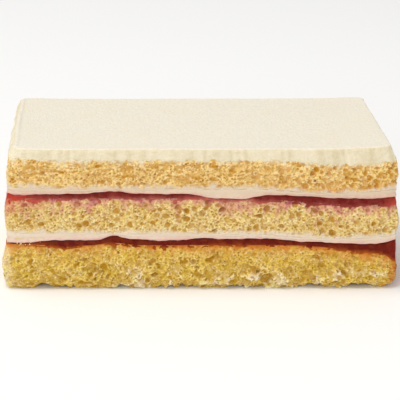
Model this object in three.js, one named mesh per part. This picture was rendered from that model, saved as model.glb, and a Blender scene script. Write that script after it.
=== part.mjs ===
// Strawberry shortcake portion: three sheets of sponge, two fillings of jam under cream, and icing on top.
// Millimetres, +Z up. The long cut face looks along -Y, and the origin is the middle of the base.
import * as THREE from "three";
import { ParametricGeometry } from "three/addons/geometries/ParametricGeometry.js";
import { ImprovedNoise } from "three/addons/math/ImprovedNoise.js";
import { mergeGeometries, mergeVertices } from "three/addons/utils/BufferGeometryUtils.js";

// Plan of the portion, measured at the foot of the icing.
const LENGTH = 139.4;
const DEPTH = 65.4;
const PLAN_HEIGHT = 49;
const END_SKEW = -0.046; // sideways run of the two end cuts for each millimetre from front to back
const RIGHT_TURN = 0.016; // how much further the right end's cut runs in towards the back
const RIGHT_TUCK = 0.165; // how far the foot of the right end is drawn in for each millimetre down
const TUCK_HEIGHT = 15.6; // where that begins
const TUCK_HOLD = 12; // and how close to the end it is held
const LENGTH_FLARE = 0.045; // lean of an end wall for each millimetre down
const DEPTH_FLARE = 0.02; // lean of a long wall for each millimetre down
const ICING_LEAN = 0.25; // further lean of the icing's two ends for each millimetre up
const CORNER_WEAR = 0.9; // how far in the upright corners are worn
const CORNER_SPAN = 0.04; // how much of a half side that wear runs along

// Facets of the cut walls.
const FACET = 2.6;
const LONG_FACETS = Math.round(LENGTH / FACET);
const END_FACETS = Math.round(DEPTH / FACET);
const COLUMNS = 2 * (LONG_FACETS + END_FACETS);
const RIM_BIAS = 2; // draws the rings of a layer's face towards its rim

// Relief of the cut walls.
const CRAG_SIZE = 6.5; // from one crag of torn crumb to the next
const FINE_STEP = 2; // how many times smaller the finer relief is
const FINE_SHARE = 0.5; // and how strong it is beside the coarser
const RIM_WANDER = 0.3; // in and out of the line between two layers
const WANDER_SIZE = 9;
const FOOT_INSET = 1.8; // worn lower edge of the bottom sponge
const FOOT_RAGGED = 1.3; // rise and fall of that edge
const FOOT_CURVE = 1.7; // draws the lowest row of the wall down to the foot
const ICING_ROUND = 1.5; // radius of the icing's upper edge
const ICING_UPRIGHT = 0.4; // share of the icing's wall below that radius

const SPONGE_ROUGHNESS = 0.95;
const CREAM_ROUGHNESS = 0.6;
const JAM_ROUGHNESS = 0.25;

// The layers from the base up. top is the height of a layer's upper face, and each swell lifts or lowers
// that face around x = at on the front wall; drift is how far its crest has moved sideways where it leaves
// by the back wall. bulge is how far the wall stands out between its two faces, and crag how rough it is.
const LAYERS = [
  {
    name: "sponge_bottom",
    top: 16.6,
    swells: [
      { at: -66, rise: 0.5, spread: 14, drift: 0 },
      { at: -47, rise: -0.7, spread: 4, drift: 12 },
      { at: -30.5, rise: 1.1, spread: 5, drift: -9 },
      { at: 66, rise: -3.3, spread: 18, drift: 0 },
      { at: 76, rise: -6.5, spread: 5.5, drift: 2 },
    ],
    rows: 6,
    faceRings: 2,
    bulge: 0.8,
    crag: 0.85,
    color: "#d2a75c",
    roughness: SPONGE_ROUGHNESS,
  },
  {
    name: "jam_lower",
    top: 19.05,
    swells: [
      { at: -72, rise: -1.4, spread: 16, drift: 0 },
      { at: -30.3, rise: 1.8, spread: 4.5, drift: -9 },
      { at: 2, rise: 0.6, spread: 7, drift: 14 },
      { at: 22, rise: 0.8, spread: 8, drift: -11 },
      { at: 58, rise: -1.75, spread: 22, drift: 0 },
      { at: 75, rise: 1.6, spread: 4, drift: 0 },
    ],
    rows: 2,
    faceRings: 1,
    bulge: 0.1,
    crag: 0.1,
    color: "#7a2a20",
    roughness: JAM_ROUGHNESS,
  },
  {
    name: "cream_lower",
    top: 22.35,
    swells: [
      { at: -52, rise: 0.5, spread: 20, drift: 15 },
      { at: 52, rise: -1.95, spread: 26, drift: -6 },
    ],
    rows: 2,
    faceRings: 1,
    bulge: -0.3,
    crag: 0.1,
    color: "#e6d0b4",
    roughness: CREAM_ROUGHNESS,
  },
  {
    name: "sponge_middle",
    top: 34.55,
    swells: [
      { at: 11, rise: -0.5, spread: 9, drift: 0 },
      { at: 60, rise: -2.75, spread: 28, drift: -10 },
    ],
    rows: 5,
    faceRings: 1,
    bulge: 0.3,
    crag: 0.65,
    color: "#deb97c",
    roughness: SPONGE_ROUGHNESS,
  },
  {
    name: "jam_upper",
    top: 36.55,
    swells: [
      { at: -30.3, rise: 1.2, spread: 6, drift: 10 },
      { at: 6.5, rise: -1.7, spread: 5.5, drift: -8 },
      { at: 15.5, rise: -1.7, spread: 5, drift: 9 },
      { at: 62, rise: -1.75, spread: 34, drift: 0 },
    ],
    rows: 2,
    faceRings: 1,
    bulge: 0.1,
    crag: 0.1,
    color: "#8a3228",
    roughness: JAM_ROUGHNESS,
  },
  {
    name: "cream_upper",
    top: 39.4,
    swells: [
      { at: -70, rise: 0.6, spread: 16, drift: 0 },
      { at: 48, rise: -1.7, spread: 20, drift: -12 },
    ],
    rows: 2,
    faceRings: 1,
    bulge: -0.3,
    crag: 0.1,
    color: "#e4cdac",
    roughness: CREAM_ROUGHNESS,
  },
  {
    name: "sponge_top",
    top: 49.3,
    swells: [
      { at: -72, rise: 0.9, spread: 14, drift: 0 },
      { at: 55, rise: -1.5, spread: 20, drift: -14 },
    ],
    rows: 4,
    faceRings: 1,
    bulge: 0.3,
    crag: 0.65,
    color: "#dcb272",
    roughness: SPONGE_ROUGHNESS,
  },
  {
    name: "icing",
    top: 53.3,
    swells: [
      { at: -72, rise: 0.5, spread: 12, drift: 0 },
      { at: 74, rise: 1, spread: 16, drift: 0 },
    ],
    rows: 5,
    faceRings: 2,
    bulge: 0,
    crag: 0.1,
    rimInset: ICING_ROUND,
    color: "#f2ead7",
    roughness: CREAM_ROUGHNESS,
  },
];

// The base that the lowest layer stands on: a flat face, a little smaller than the wall above it.
const BASE = { top: 0, swells: [], faceRings: 1, rimInset: FOOT_INSET };

const noise = new ImprovedNoise();

// Smooth relief between about -1 and 1 that repeats itself nowhere on the portion.
function relief(x, y, z, size) {
  const fine = size / FINE_STEP;
  return noise.noise(x / size, y / size, z / size) + FINE_SHARE * noise.noise(x / fine, y / fine, z / fine);
}

// Where a column stands on the outline, as shares of the half length and half depth. Columns run
// anticlockwise from the front left corner, so the front wall and the back wall have theirs at the same
// places.
function outlineShare(u) {
  const column = (u * COLUMNS) % COLUMNS;
  if (column <= LONG_FACETS) return { along: (2 * column) / LONG_FACETS - 1, across: -1 };
  const pastFront = column - LONG_FACETS;
  if (pastFront <= END_FACETS) return { along: 1, across: (2 * pastFront) / END_FACETS - 1 };
  const pastEnd = pastFront - END_FACETS;
  if (pastEnd <= LONG_FACETS) return { along: 1 - (2 * pastEnd) / LONG_FACETS, across: 1 };
  return { along: -1, across: 1 - (2 * (pastEnd - LONG_FACETS)) / END_FACETS };
}

// The half length and half depth of the flared stack at a height.
function halfPlan(height) {
  const down = PLAN_HEIGHT - height;
  return {
    length: LENGTH / 2 + LENGTH_FLARE * down + ICING_LEAN * Math.min(down, 0),
    depth: DEPTH / 2 + DEPTH_FLARE * down,
  };
}

// A point of the wall in plan, standing out from the flared stack by reach.
function wallPlan(u, height, reach) {
  const { along, across } = outlineShare(u);
  const half = halfPlan(height);
  const fromCorner = 1 - Math.min(Math.abs(along), Math.abs(across));
  const kept = reach - CORNER_WEAR * Math.exp(-((fromCorner / CORNER_SPAN) ** 2));
  const y = across * (half.depth + kept);
  const turned = RIGHT_TURN * Math.max(along, 0) * (y + half.depth);
  const tucked = RIGHT_TUCK * Math.max(along, 0) ** TUCK_HOLD * Math.max(TUCK_HEIGHT - height, 0);
  return { x: along * (half.length + kept) + END_SKEW * y - turned - tucked, y };
}

// The nearest point of the portion's middle line, where the two halves of a face meet.
function spinePlan(u, height) {
  const { along } = outlineShare(u);
  const half = halfPlan(height);
  const end = half.length - half.depth;
  return { x: THREE.MathUtils.clamp(along * half.length, -end, end), y: 0 };
}

function faceHeight(layer, x, y) {
  const fromFront = y / DEPTH + 0.5;
  return layer.swells.reduce((height, { at, rise, spread, drift }) => {
    const off = (x - at - drift * fromFront) / spread;
    return height + rise * Math.exp(-off * off);
  }, layer.top);
}

// A point of a layer's upper face: v runs from the middle line, 0, to the rim, 1.
function facePoint(layer, u, v, target) {
  const spine = spinePlan(u, layer.top);
  const bare = wallPlan(u, layer.top, 0);
  const wander = RIM_WANDER * relief(bare.x, bare.y, layer.top, WANDER_SIZE);
  const rim = wallPlan(u, layer.top, wander - (layer.rimInset ?? 0));
  const inward = (1 - v) ** RIM_BIAS;
  const x = THREE.MathUtils.lerp(rim.x, spine.x, inward);
  const y = THREE.MathUtils.lerp(rim.y, spine.y, inward);
  return target.set(x, y, faceHeight(layer, x, y));
}

// How a wall runs between the face below and its own: climb is the share of the height reached at v, and
// reach how far the wall then stands out.
function wallProfile(layer, below, v) {
  if (layer.rimInset) {
    const upright = 1 - layer.rimInset / (layer.top - below.top);
    if (v < ICING_UPRIGHT) return { climb: (upright * v) / ICING_UPRIGHT, reach: 0 };
    const turn = ((Math.PI / 2) * (v - ICING_UPRIGHT)) / (1 - ICING_UPRIGHT);
    const drawnIn = layer.rimInset * (1 - Math.cos(turn));
    return { climb: upright + (1 - upright) * Math.sin(turn), reach: -drawnIn };
  }
  const standOut = layer.bulge * Math.sin(Math.PI * v);
  if (!below.rimInset) return { climb: v, reach: standOut };
  return { climb: v ** FOOT_CURVE, reach: standOut - below.rimInset * (1 - Math.sqrt(v)) ** 2 };
}

// A point of a layer's cut wall: v runs from the face below, 0, to its own face, 1. Both rims stay as they
// are.
function wallPoint(layer, below, u, v, target) {
  if (v === 0) return facePoint(below, u, 1, target);
  if (v === 1) return facePoint(layer, u, 1, target);
  const lower = facePoint(below, u, 1, new THREE.Vector3());
  const upper = facePoint(layer, u, 1, new THREE.Vector3());
  const { climb, reach } = wallProfile(layer, below, v);
  const height = THREE.MathUtils.lerp(below.top, layer.top, climb);
  const bare = wallPlan(u, height, 0);
  const crag = layer.crag * relief(bare.x, bare.y, height, CRAG_SIZE);
  const { x, y } = wallPlan(u, height, reach + crag);
  const ragged = below.rimInset ? FOOT_RAGGED * (1 - v) ** 2 : 0;
  const lift = ragged * Math.abs(relief(bare.y, bare.x, height, CRAG_SIZE));
  return target.set(x, y, THREE.MathUtils.lerp(lower.z, upper.z, climb) + lift);
}

// Turns a sheet over, so that its faces look the other way and its folds stay the same.
function turnedOver(geometry) {
  const index = geometry.getIndex();
  for (let i = 0; i < index.count; i += 3) {
    const second = index.getX(i + 1);
    index.setX(i + 1, index.getX(i + 2));
    index.setX(i + 2, second);
  }
  return geometry;
}

function faceSheet(layer) {
  return new ParametricGeometry((u, v, target) => facePoint(layer, u, v, target), COLUMNS, layer.faceRings);
}

function wallSheet(layer, below) {
  const point = (u, v, target) => wallPoint(layer, below, u, v, target);
  return new ParametricGeometry(point, COLUMNS, layer.rows);
}

// One closed skin: the face of the layer below, the cut wall, and the layer's own face turned over to look
// up.
function layerGeometry(layer, below) {
  const sheets = [faceSheet(below), wallSheet(layer, below), turnedOver(faceSheet(layer))];
  for (const sheet of sheets) {
    sheet.deleteAttribute("normal");
    sheet.deleteAttribute("uv");
  }
  const skin = mergeVertices(mergeGeometries(sheets));
  skin.computeVertexNormals();
  return skin;
}

function layerMesh(layer, below) {
  const { name, color, roughness } = layer;
  const material = new THREE.MeshStandardMaterial({ color, roughness, metalness: 0 });
  const mesh = new THREE.Mesh(layerGeometry(layer, below), material);
  mesh.name = name;
  return mesh;
}

const stack = new THREE.Group();
LAYERS.forEach((layer, i) => stack.add(layerMesh(layer, i === 0 ? BASE : LAYERS[i - 1])));

// The crags differ from wall to wall, so the stack is centred over the origin by its own box.
const box = new THREE.Box3().setFromObject(stack);
const middle = box.getCenter(new THREE.Vector3());
stack.position.set(-middle.x, -middle.y, -box.min.z);

const cake = new THREE.Group();
cake.add(stack);

export default cake;
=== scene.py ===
"""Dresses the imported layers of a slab-cut shortcake portion with sponge crumb, cream, jam and icing."""

import math
from typing import NamedTuple

import bmesh
import bpy
import numpy as np
from bpy.props import FloatProperty, FloatVectorProperty, IntProperty, PointerProperty
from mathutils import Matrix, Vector
from mathutils.bvhtree import BVHTree


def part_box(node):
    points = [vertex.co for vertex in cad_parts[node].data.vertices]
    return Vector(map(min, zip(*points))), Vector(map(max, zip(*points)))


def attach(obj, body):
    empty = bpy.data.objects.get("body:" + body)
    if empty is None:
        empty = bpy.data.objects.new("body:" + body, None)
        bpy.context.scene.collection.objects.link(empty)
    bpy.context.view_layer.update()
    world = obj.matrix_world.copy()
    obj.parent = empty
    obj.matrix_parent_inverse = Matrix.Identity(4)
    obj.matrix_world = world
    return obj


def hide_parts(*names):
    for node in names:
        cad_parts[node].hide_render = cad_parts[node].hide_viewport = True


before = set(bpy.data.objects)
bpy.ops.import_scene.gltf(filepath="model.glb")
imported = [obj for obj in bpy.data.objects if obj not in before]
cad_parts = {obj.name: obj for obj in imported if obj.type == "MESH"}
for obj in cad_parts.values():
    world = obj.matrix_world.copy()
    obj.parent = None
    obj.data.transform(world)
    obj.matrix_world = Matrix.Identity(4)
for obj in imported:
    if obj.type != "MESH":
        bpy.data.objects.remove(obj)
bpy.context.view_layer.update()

bl_info = {
    "name": "Strawberry Shortcake Portion",
    "version": (1, 0, 0),
    "blender": (4, 5, 0),
    "location": "View3D > Sidebar > Shortcake",
    "description": "Dresses the layers of a shortcake portion with crumb, cream, jam and icing",
    "category": "Mesh",
}

PER_METRE = 1000.0  # the shapes are worked out in millimetres
LAYERS = (
    "sponge_bottom",
    "jam_lower",
    "cream_lower",
    "sponge_middle",
    "jam_upper",
    "cream_upper",
    "sponge_top",
    "icing",
)

# How the walls are read from the frame and laid out, in millimetres.
HALF_LENGTH = 71.5  # columns are set out evenly on an oblong of this half length
HALF_DEPTH = 33.2  # and this half depth
LEFT_END = -71.0  # about where the left wall stands
RIGHT_PART = (20.0, 32.0)  # over this stretch the thicker right part of the fillings sets in
END_SKEW = -0.046  # sideways run of the end cuts for each millimetre from front to back
WELL_OUTSIDE = 1.5  # a column's search for the wall starts at this many times its span
WELL_ABOVE = 90.0  # and a search for an upper face starts at this height
RIM_INSET = 0.8  # how far inside the wall the height of a layer's rim is read
RIM_PASSES = 3  # times that reading is repeated, since the wall leans
PROBE_ROWS = 9  # heights at which a layer's wall is read
PROBE_SPAN = (0.04, 0.96)  # from the lowest to the highest of them, as shares of the layer's height
MIDDLE_PROBE = PROBE_ROWS // 2
HIDDEN_INSET = 4.0  # how far the faces that other layers cover are drawn in before they are filled
SPONGE_TUCK = 1.6  # how far the upper sponges run down behind the filling under them
FAR = 20.0  # more than the height of any layer
JAM_ROWS = 15
CREAM_ROWS = 16
ICING_ROWS = 16
ICING_EDGE_ROWS = 6

# Settings.


def linear(code):
    """A hex colour as the linear red, green and blue that Blender's colour sockets hold."""
    shares = [int(code[i : i + 2], 16) / 255 for i in (1, 3, 5)]
    return tuple(c / 12.92 if c <= 0.04045 else ((c + 0.055) / 1.055) ** 2.4 for c in shares)


def number_prop(name, description, default, **kind):
    """A number, and the kind of measure it is."""
    return FloatProperty(name=name, description=description, default=default, **kind)


def size_prop(name, description, default):
    """A length, given here in millimetres."""
    kind = {"min": 0.0, "precision": 5, "subtype": "DISTANCE", "unit": "LENGTH"}
    return number_prop(name, description, default / PER_METRE, **kind)


def colour_prop(name, description, code):
    """A colour, given here as a hex code."""
    return FloatVectorProperty(
        name=name, description=description, default=linear(code), size=3, min=0.0, max=1.0, subtype="COLOR"
    )


def seed_prop(description, default):
    """The start of an operator's random draws."""
    return IntProperty(name="Seed", description=description, default=default, min=0)


class SpongeSettings(bpy.types.PropertyGroup):
    """Crumb of the three sheets of sponge."""

    step: size_prop("Crumb Step", "Spacing of the mesh on the cut walls", 0.28)
    large_pore: size_prop("Large Pore", "Usual radius of the pores that stand out", 0.85)
    small_pore: size_prop("Small Pore", "Usual radius of the pores between them", 0.34)
    roughness: size_prop("Torn Crumb", "Depth of the torn crumb between the pores", 0.1)
    seed: seed_prop("Start of the random draws for the pores", 11)
    top_wall: colour_prop("Top Crumb", "Crumb of the top sponge between its pores", "#fbd990")
    # The pore colours are the crumb painted darker and warmer inside its pores, as painted shade.
    top_hollow: colour_prop("Top Pores", "Inside of the top sponge's pores", "#ca8b14")
    middle_wall: colour_prop("Middle Crumb", "Crumb of the middle sponge between its pores", "#f2d78d")
    middle_hollow: colour_prop("Middle Pores", "Inside of the middle sponge's pores", "#c38b14")
    bottom_wall: colour_prop("Bottom Crumb", "Crumb of the bottom sponge between its pores", "#edcd66")
    bottom_hollow: colour_prop("Bottom Pores", "Inside of the bottom sponge's pores", "#ac7c04")
    # The pale crumb colour also paints highlight on the ridges and painted light at the front left corner.
    pale: colour_prop("Pale Crumb", "Torn edges and loose flakes of crumb", "#fff3cc")
    brown: colour_prop("Browned Crust", "Crust of the bottom sponge under the jam", "#da8a3a")


class FillingSettings(bpy.types.PropertyGroup):
    """Jam and cream between the sheets of sponge."""

    step: size_prop("Filling Step", "Spacing of the mesh on the cut walls", 0.45)
    bleed: size_prop("Bleed", "How far cream and jam run into the pores of the sponge beside them", 1.0)
    overhang: size_prop("Overhang", "How far the cream stands out over the jam", 0.55)
    seed: seed_prop("Start of the random draws for smears and drips", 23)
    # The blush colours are partly juice taken up and partly painted red light bounced from the jam.
    upper_cream: colour_prop("Upper Cream", "Upper cream away from the jam", "#ead6bc")
    upper_blush: colour_prop("Upper Blush", "Upper cream that has taken up juice beside the jam", "#e4ac9c")
    lower_cream: colour_prop("Lower Cream", "Lower cream away from the jam", "#f0dfc9")
    lower_blush: colour_prop("Lower Blush", "Lower cream that has taken up juice beside the jam", "#eab4aa")
    # At their upper edges the jams are darkened further from these, as painted shade under the cream.
    upper_dark: colour_prop("Upper Jam in the Thick", "Upper jam at its upper edge", "#74201b")
    upper_light: colour_prop("Upper Jam in the Thin", "Upper jam where light comes through it", "#c06456")
    lower_dark: colour_prop("Lower Jam in the Thick", "Lower jam at its upper edge", "#6b1c11")
    lower_light: colour_prop("Lower Jam in the Thin", "Lower jam where light comes through it", "#b8601c")
    fresh: colour_prop("Fresh Jam", "Clear red jam at the ends", "#cc3e2c")
    juice: colour_prop("Juice", "Sponge that has soaked up juice", "#d67c80")


class IcingSettings(bpy.types.PropertyGroup):
    """Cream icing on the top."""

    step: size_prop("Icing Step", "Spacing of the mesh on the top and the cut walls", 0.45)
    edge: size_prop("Edge", "Radius of the upper edge", 0.7)
    streak: size_prop("Streak", "Depth of the knife's upright streaks on the cut walls", 0.06)
    lip: size_prop("Lip", "Height of the low lip along the left end", 0.35)
    seed: seed_prop("Start of the random draws for the icing's relief", 37)
    top: colour_prop("Icing", "Smoothed top of the icing", "#f1e9d7")
    top_shade: colour_prop("Icing Shade", "Fine pits and soft smears in the top", "#e7dcc4")
    # The cut icing's yellower tone is painted light bounced into the cut walls; its streaks are knife marks.
    cut: colour_prop("Cut Icing", "Cut walls of the icing", "#f3e7c8")
    cut_shade: colour_prop("Cut Icing Shade", "Streaks down the cut walls", "#e4d5b0")


class StageSettings(bpy.types.PropertyGroup):
    """Floor, light and camera."""

    floor: colour_prop("Floor", "Pale floor that the portion stands on", "#f7f6f4")
    floor_light: colour_prop("Floor Light", "Paler patches of the floor", "#fbfbfa")
    sky: number_prop("Sky", "Strength of the even light all round", 0.5, min=0.0)
    key: number_prop("Key", "Power of the large soft light overhead", 17.0, min=0.0, unit="POWER")
    fill: number_prop("Fill", "Power of the soft light in front", 12.0, min=0.0, unit="POWER")
    azimuth: number_prop("Azimuth", "Turn of the camera to one side", math.radians(-0.374), subtype="ANGLE")
    elevation: number_prop("Elevation", "Height of the camera as an angle", math.radians(20), subtype="ANGLE")
    distance: size_prop("Distance", "From the camera to the point it looks at", 563.9)
    lens: number_prop("Lens", "Focal length of the camera", 132.8, unit="CAMERA")
    aim: FloatVectorProperty(
        name="Aim",
        description="Point that the camera looks at",
        default=(0.001329, 0.0, 0.022312),
        size=3,
        subtype="TRANSLATION",
        unit="LENGTH",
    )


# Profiles that fade marks and relief in and out.


def ramp(values, start, end):
    """Goes from 0 at start to 1 at end, which may be the smaller of the two."""
    return np.clip((values - start) / (end - start), 0.0, 1.0)


def bump(values, middle, half_width, power=2):
    """1 in the middle, falling away on both sides of it."""
    return np.exp(-(((values - middle) / half_width) ** power))


def bumps(values, places):
    """Bumps added up, each given by its middle, half width and height."""
    return sum(high * bump(values, middle, half_width) for middle, half_width, high in places)


def fade(distance, length):
    """1 at a rim, falling away over about that length from it."""
    return np.exp(-np.clip(distance, 0.0, FAR) / length)


# Reading the frame.


def frame_tree(*names):
    """Search tree over the CAD nodes with these names, in millimetres."""
    corners, faces = [], []
    for name in names:
        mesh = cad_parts[name].data
        first = len(corners)
        corners += [v.co * PER_METRE for v in mesh.vertices]
        faces += [[first + i for i in face.vertices] for face in mesh.polygons]
    return BVHTree.FromPolygons(corners, faces)


class Outline:
    """Columns around the portion, anticlockwise from above, from the middle of the back wall.

    Each column is a ray from the portion's middle line out through its wall."""

    def __init__(self, step):
        self.long = 2 * round(HALF_LENGTH / step)
        self.end = 2 * round(HALF_DEPTH / step)
        over, up = np.arange(self.long), np.arange(self.end)
        middle = self.long // 2
        half = over[:middle]
        self.along = np.concatenate([middle - half, 0 * up, over, 0 * up + self.long, self.long - half])
        self.across = np.concatenate([0 * half + self.end, self.end - up, 0 * over, up, 0 * half + self.end])
        self.count = len(self.along)
        self.y = (2 * self.across / self.end - 1) * HALF_DEPTH
        straight = (2 * self.along / self.long - 1) * HALF_LENGTH
        self.x = straight + END_SKEW * self.y
        reach = HALF_LENGTH - HALF_DEPTH
        self.spine = np.stack([np.clip(straight, -reach, reach), 0 * straight], axis=1)
        ray = np.stack([self.x, self.y], axis=1) - self.spine
        self.span = np.linalg.norm(ray, axis=1)
        self.out = ray / self.span[:, None]
        self.step = 2 * HALF_LENGTH / self.long
        self.front = self.across == 0
        self.right_part = ramp(self.x, *RIGHT_PART)

    def smoothed(self, values, size):
        """Values by column, evened out over that many millimetres along the wall."""
        gain = np.exp(-2 * (math.pi * size * np.fft.rfftfreq(self.count, self.step)) ** 2)
        return np.fft.irfft(np.fft.rfft(values, axis=-1) * gain, self.count, axis=-1)

    def without_outliers(self, values):
        """Values by column, each the middle one of those within a millimetre and a half along the wall."""
        near = round(1.5 / self.step)
        return np.median([np.roll(values, shift) for shift in range(-near, near + 1)], axis=0)

    def wall_share(self, tree, heights):
        """Where each column leaves the solid at its height, as a share of the column's span."""
        shares = np.full(self.count, np.nan)
        for i in range(self.count):
            start = self.spine[i] + self.out[i] * self.span[i] * WELL_OUTSIDE
            place = tree.ray_cast(Vector((*start, heights[i])), Vector((*-self.out[i], 0.0)))[0]
            if place is not None:
                shares[i] = np.dot(np.array(place)[:2] - self.spine[i], self.out[i]) / self.span[i]
        known = np.flatnonzero(~np.isnan(shares))
        if not len(known):
            raise RuntimeError("the frame has no wall at these heights")
        return np.interp(np.arange(self.count), known, shares[known])

    def place(self, share, offset, height):
        """Points of the wall, standing out by offset from the frame's wall."""
        reach = share * self.span + offset
        flat = self.spine + self.out * reach[..., None]
        return np.concatenate([flat, height[..., None]], axis=-1)


class Walls:
    """What the frame says of every layer's cut wall, for one spacing of columns."""

    def __init__(self, step):
        self.outline = Outline(step)
        self.stack = frame_tree(*LAYERS)
        self.rims = {}
        below = np.zeros(self.outline.count)
        for name in LAYERS:
            above = self.rim(name)
            self.rims[name] = (below, above)
            below = above

    def rim(self, name):
        """Height of a layer's upper face just inside the wall, by column."""
        outline, tree = self.outline, frame_tree(name)
        heights = np.full(outline.count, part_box(name)[1].z * PER_METRE - 0.5)
        for _ in range(RIM_PASSES):
            share = outline.wall_share(self.stack, heights)
            for i, point in enumerate(outline.place(share, -RIM_INSET, heights)):
                hit = tree.ray_cast(Vector((*point[:2], WELL_ABOVE)), Vector((0.0, 0.0, -1.0)))[0]
                if hit is not None:
                    heights[i] = hit.z
        return outline.smoothed(outline.without_outliers(heights), 0.6)

    def layer(self, name):
        """Lower rim, upper rim and wall shares at PROBE_ROWS heights between them."""
        low, high = self.rims[name]
        tree = frame_tree(name)
        steps = np.linspace(*PROBE_SPAN, PROBE_ROWS)
        shares = np.stack([self.outline.wall_share(tree, low + (high - low) * v) for v in steps])
        return low, high, self.outline.smoothed(shares, 0.8), steps


def band_shares(shares, steps, climb):
    """Wall shares at each row's climb between the rims, which differs from column to column."""
    at = np.clip((climb - steps[0]) / (steps[-1] - steps[0]), 0.0, 1.0) * (len(steps) - 1)
    first = np.minimum(at.astype(int), len(steps) - 2)
    part = at - first
    column = np.arange(climb.shape[1])[None, :]
    return shares[first, column] * (1 - part) + shares[first + 1, column] * part


def band_rows(low, high, below, above, count):
    """Rows from below one rim to above another: their height, their climb, and how far they pass each rim."""
    foot, crown = low - below, high + above
    height = foot + (crown - foot) * np.linspace(0.0, 1.0, count)[:, None]
    under = np.clip((low - height) / np.maximum(below, 0.01), 0.0, 1.0)
    over = np.clip((height - high) / np.maximum(above, 0.01), 0.0, 1.0)
    return height, np.clip((height - low) / (high - low), 0.0, 1.0), under, over


# Relief.


class WallNoise:
    """Even random relief of unit spread on a wall's columns, drawn in turn from one seed."""

    def __init__(self, seed, outline):
        self.rng = np.random.default_rng(seed)
        self.step = outline.step
        self.count = outline.count

    def field(self, rows, across, up, columns=None):
        """Relief on that many rows, closed around the wall; across and up are the sizes of its lumps."""
        shape = (rows, columns or self.count)
        white = np.fft.rfft2(self.rng.standard_normal(shape))
        row = np.fft.fftfreq(shape[0], self.step)[:, None]
        column = np.fft.rfftfreq(shape[1], self.step)[None, :]
        gain = np.exp(-0.5 * ((math.pi * across * column) ** 2 + (math.pi * up * row) ** 2))
        relief = np.fft.irfft2(white * gain, shape)
        return (relief - relief.mean()) / relief.std()

    def line(self, across):
        """Relief that changes along the wall only."""
        return self.field(1, across, 1.0)[0]


def blurred(field, step, size):
    """A field evened out over that many millimetres, closed around the wall and mirrored at its rims."""
    tall = np.concatenate([field, field[::-1]])
    row = np.fft.fftfreq(tall.shape[0], step)[:, None]
    column = np.fft.rfftfreq(tall.shape[1], step)[None, :]
    gain = np.exp(-2 * (math.pi * size) ** 2 * (row**2 + column**2))
    return np.fft.irfft2(np.fft.rfft2(tall) * gain, tall.shape)[: field.shape[0]]


def ridges(relief, step, size, full):
    """Where relief stands out from itself evened out over that size; full is the height that counts as 1."""
    return np.clip((relief - blurred(relief, step, size)) / full, 0.0, 1.0)


class Pores(NamedTuple):
    """The form of one kind of pore."""

    squash: float  # height for the width
    wobble: float  # unevenness of the rim
    bowl: float  # how gently the sides run
    crisp: float  # sharpness of the rim
    deep: float  # depth for the radius
    tone: float = 1.0  # strength of the darker colour inside, painted shade


SPOT_TRIES = 6  # places tried for each pore
PORE_SPREAD = 0.38  # how far pores differ in size
PORE_LIMIT = 1.55  # the largest, against the usual radius
DEEP_SHARE = 0.06  # share of the pores that go deeper than the rest
DEEPER = 1.8  # and by how much
CAVITY = Pores(squash=0.8, wobble=0.6, bowl=0.8, crisp=1.1, deep=0.7, tone=0.9)
PINHOLE = Pores(squash=0.8, wobble=0.2, bowl=0.5, crisp=2.0, deep=1.0)


class Crumb(NamedTuple):
    """The crumb of one sheet of sponge."""

    pores: Pores
    size: float  # of the pores, against the radii in the settings
    cover: tuple  # shares of the wall that large and small pores take
    flake: tuple  # depth, width and height of the torn flakes
    torn: float  # how pale the ridges are, partly torn crumb and partly painted highlight
    fine: float  # how strongly the finest bubbles show, their centres painted darker as painted shade
    fleck: float  # how pale the fine flecks are
    mottle: float  # how far its yellow comes and goes


CRUMBS = {
    "sponge_bottom": Crumb(
        Pores(squash=0.8, wobble=0.6, bowl=1.0, crisp=1.2, deep=0.85),
        size=0.92, cover=(0.14, 0.17), flake=(0.4, 0.95, 0.8), torn=0.5, fine=0.28, fleck=0.68, mottle=1.0,
    ),
    "sponge_middle": Crumb(
        Pores(squash=0.88, wobble=0.3, bowl=0.6, crisp=2.2, deep=1.3),
        size=0.98, cover=(0.22, 0.2), flake=(0.15, 1.0, 0.8), torn=0.5, fine=0.45, fleck=0.95, mottle=0.5,
    ),
    "sponge_top": Crumb(
        Pores(squash=0.65, wobble=0.4, bowl=0.6, crisp=1.8, deep=1.1),
        size=0.85, cover=(0.18, 0.16), flake=(0.68, 1.4, 0.55), torn=0.4, fine=0.35, fleck=0.6, mottle=0.45,
    ),
}


def clear_spot(rng, hollow, rows, tall, wide):
    """The place out of a few where a pore of that size, in cells of the map, meets the fewest others."""
    height, columns = hollow.shape
    best, least = None, math.inf
    for _ in range(SPOT_TRIES):
        row, column = rng.uniform(0, rows), rng.uniform(0, columns)
        met = sum(
            hollow[min(max(int(row + tall * b), 0), height - 1), int(column + wide * a) % columns]
            for a, b in ((0, 0), (1, 0), (-1, 0), (0, 1), (0, -1))
        )
        if met < least:
            best, least = (row, column), met
    return best


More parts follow.
